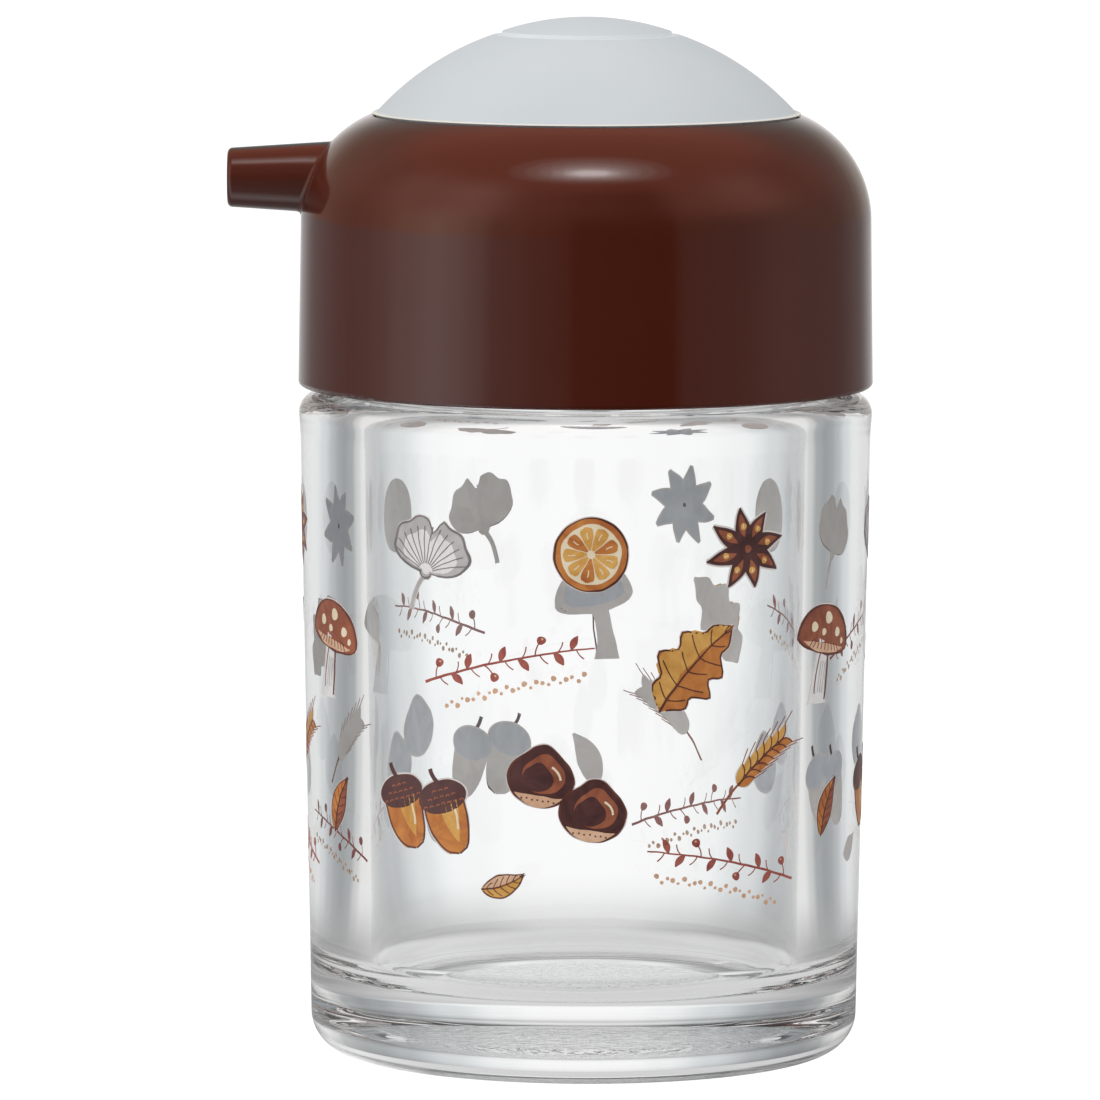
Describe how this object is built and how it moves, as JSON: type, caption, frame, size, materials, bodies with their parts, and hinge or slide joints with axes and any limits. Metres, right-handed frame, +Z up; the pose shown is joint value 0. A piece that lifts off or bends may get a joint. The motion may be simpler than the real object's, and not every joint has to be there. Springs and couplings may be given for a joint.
{
  "type": "soy sauce dispenser",
  "caption": "Round glass table dispenser with a screw cap, a fixed side spout and a soft dome on top that is pressed to push the sauce out.",
  "frame": {"origin": "centre of the flat foot ring that the bottle stands on", "axes": "+Z up along the bottle's axis, the spout points along -X, +Y is away from the viewer of the picture"},
  "size_m": [0.0741, 0.066, 0.119],
  "materials": {
    "glass": "clear pressed glass with a smooth polished outside",
    "seal_silicone": "milky soft silicone",
    "white_plastic": "natural white polypropylene, satin",
    "brown_gloss": "dark red brown plastic, polished",
    "dome_silicone": "pale blue grey silicone, matte"
  },
  "bodies": {
    "bottle": {"bottle": "glass"},
    "thread_follower": {"neck_gasket": "seal_silicone"},
    "cap": {"inner_lid": "white_plastic", "cap_cover": "brown_gloss", "spout_seal": "seal_silicone", "clamp_ring": "white_plastic", "push_dome": "dome_silicone"},
    "dome_pad": {"push_pad": "dome_silicone"}
  },
  "joints": [
    {"name": "cap_lift", "type": "slide", "parent": "bottle", "child": "thread_follower", "axis": [0, 0, 1], "range_m": [0, 0.006]},
    {"name": "cap_turn", "type": "hinge", "parent": "thread_follower", "child": "cap", "pos_m": [0, 0, 0.0894], "axis": [0, 0, 1], "range_deg": [0, 540]},
    {"name": "dome_press", "type": "slide", "parent": "cap", "child": "dome_pad", "axis": [0, 0, -1], "range_m": [0, 0.005], "stiffness_N_per_m": 400, "deforming": ["push_dome"]}
  ],
  "couplings": [
    {"joint": "cap_lift", "follows": "cap_turn", "m_per_rad": 0.00063662}
  ]
}
